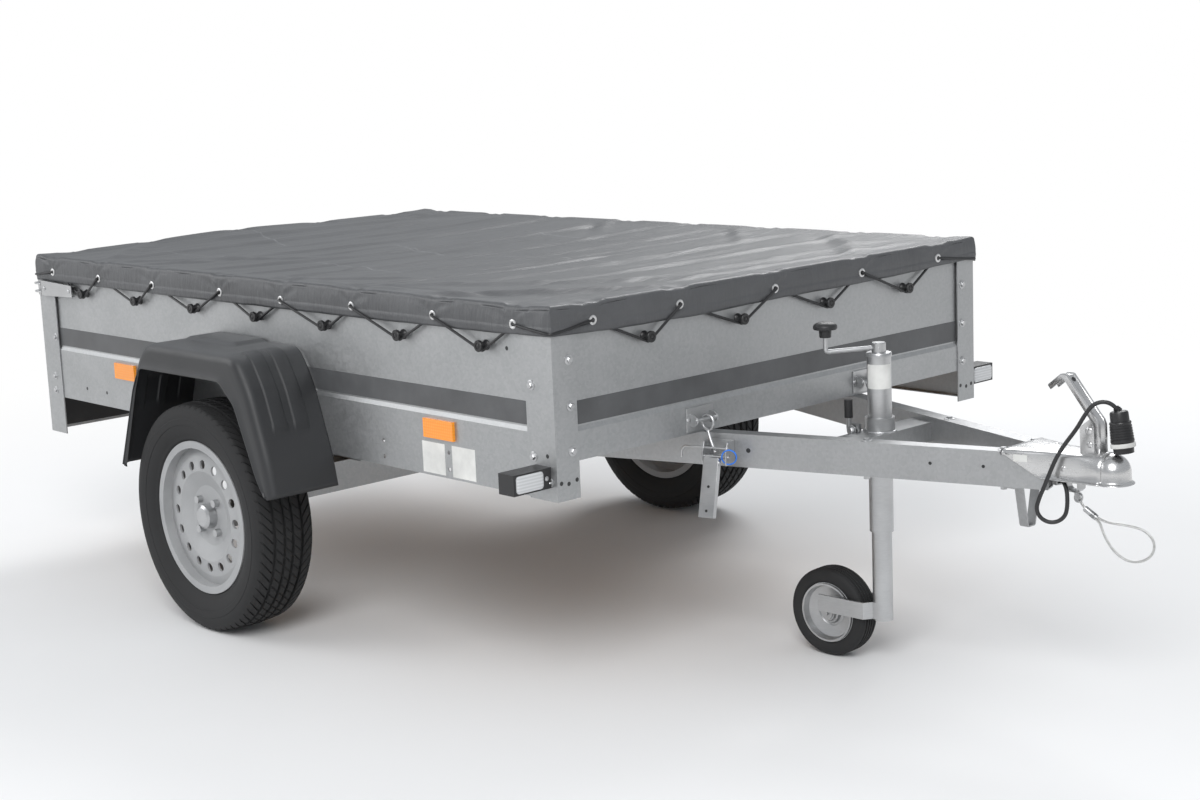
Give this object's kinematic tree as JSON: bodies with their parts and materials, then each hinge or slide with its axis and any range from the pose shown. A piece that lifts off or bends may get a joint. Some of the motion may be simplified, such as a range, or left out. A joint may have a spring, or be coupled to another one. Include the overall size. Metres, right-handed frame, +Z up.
{
  "type": "utility trailer",
  "caption": "Single-axle utility trailer with sheet steel sides, a flat cloth cover, a V drawbar with a ball coupling and a jockey wheel.",
  "frame": {"origin": "on the ground, below the middle of the box around the whole trailer", "axes": "+X forward to the coupling, +Y to the left, +Z up"},
  "size_m": [2.967, 1.71, 0.8253],
  "materials": {
    "zinc_sheet": "satin",
    "bright_steel": "satin",
    "silver_paint": "satin",
    "tyre_rubber": "matte",
    "floor_ply": "satin",
    "black_plastic": "matte",
    "cover_cloth": "satin",
    "lamp_plastic": "gloss",
    "amber_plastic": "gloss"
  },
  "bodies": {
    "drawbar": {"drawbar_beam_left": "zinc_sheet", "drawbar_beam_right": "zinc_sheet", "drawbar_crossbar": "zinc_sheet", "coupling_head": "bright_steel", "coupling_handle": "bright_steel", "jockey_clamp": "bright_steel", "jockey_tube": "bright_steel", "jockey_crank": "black_plastic"},
    "bed": {"axle_arm_left": "zinc_sheet", "axle_arm_right": "zinc_sheet", "axle_tube": "zinc_sheet", "cover_knobs": "black_plastic", "cover_sheet": "cover_cloth", "floor_board": "floor_ply", "floor_members": "zinc_sheet", "front_markers": "black_plastic", "front_panel": "zinc_sheet", "front_post_left": "zinc_sheet", "front_post_right": "zinc_sheet", "light_board": "zinc_sheet", "rear_lamps": "lamp_plastic", "rear_post_left": "zinc_sheet", "rear_post_right": "zinc_sheet", "rear_sill": "zinc_sheet", "side_panel_left": "zinc_sheet", "side_panel_right": "zinc_sheet", "side_reflectors": "amber_plastic", "tailgate_hinges": "zinc_sheet", "tilt_pins": "bright_steel", "wheel_guard_left": "black_plastic", "wheel_guard_right": "black_plastic"},
    "wheel_left": {"tyre_left": "tyre_rubber", "rim_left": "silver_paint", "hub_left": "bright_steel"},
    "wheel_right": {"tyre_right": "tyre_rubber", "rim_right": "silver_paint", "hub_right": "bright_steel"},
    "tailgate": {"tailgate_panel": "zinc_sheet", "cover_rear_flap": "cover_cloth", "cover_knobs_rear": "black_plastic"},
    "jockey_slide": {"jockey_nut": "bright_steel"},
    "jockey_swivel": {"jockey_leg": "bright_steel"},
    "jockey_roller": {"jockey_tyre": "tyre_rubber", "jockey_rim": "bright_steel"}
  },
  "joints": [
    {"name": "bed_tilt", "type": "hinge", "parent": "drawbar", "child": "bed", "pos_m": [-0.2615, 0, 0.4797], "axis": [0, -1, 0], "range_deg": [0, 20]},
    {"name": "wheel_left_spin", "type": "hinge", "parent": "bed", "child": "wheel_left", "pos_m": [-0.4615, 0.757, 0.273], "axis": [0, 1, 0], "continuous": true},
    {"name": "wheel_right_spin", "type": "hinge", "parent": "bed", "child": "wheel_right", "pos_m": [-0.4615, -0.757, 0.273], "axis": [0, 1, 0], "continuous": true},
    {"name": "tailgate_hinge", "type": "hinge", "parent": "bed", "child": "tailgate", "pos_m": [-1.4475, 0, 0.526], "axis": [0, -1, 0], "range_deg": [0, 95]},
    {"name": "jockey_height", "type": "slide", "parent": "drawbar", "child": "jockey_slide", "axis": [0, 0, 1], "range_m": [-0.06, 0.14]},
    {"name": "jockey_turn", "type": "hinge", "parent": "jockey_slide", "child": "jockey_swivel", "pos_m": [0.8955, 0, 0.3], "axis": [0, 0, 1], "continuous": true},
    {"name": "jockey_roll", "type": "hinge", "parent": "jockey_swivel", "child": "jockey_roller", "pos_m": [0.76877, -0.0082, 0.096], "axis": [-0.0645, 0.9979, 0], "continuous": true}
  ]
}
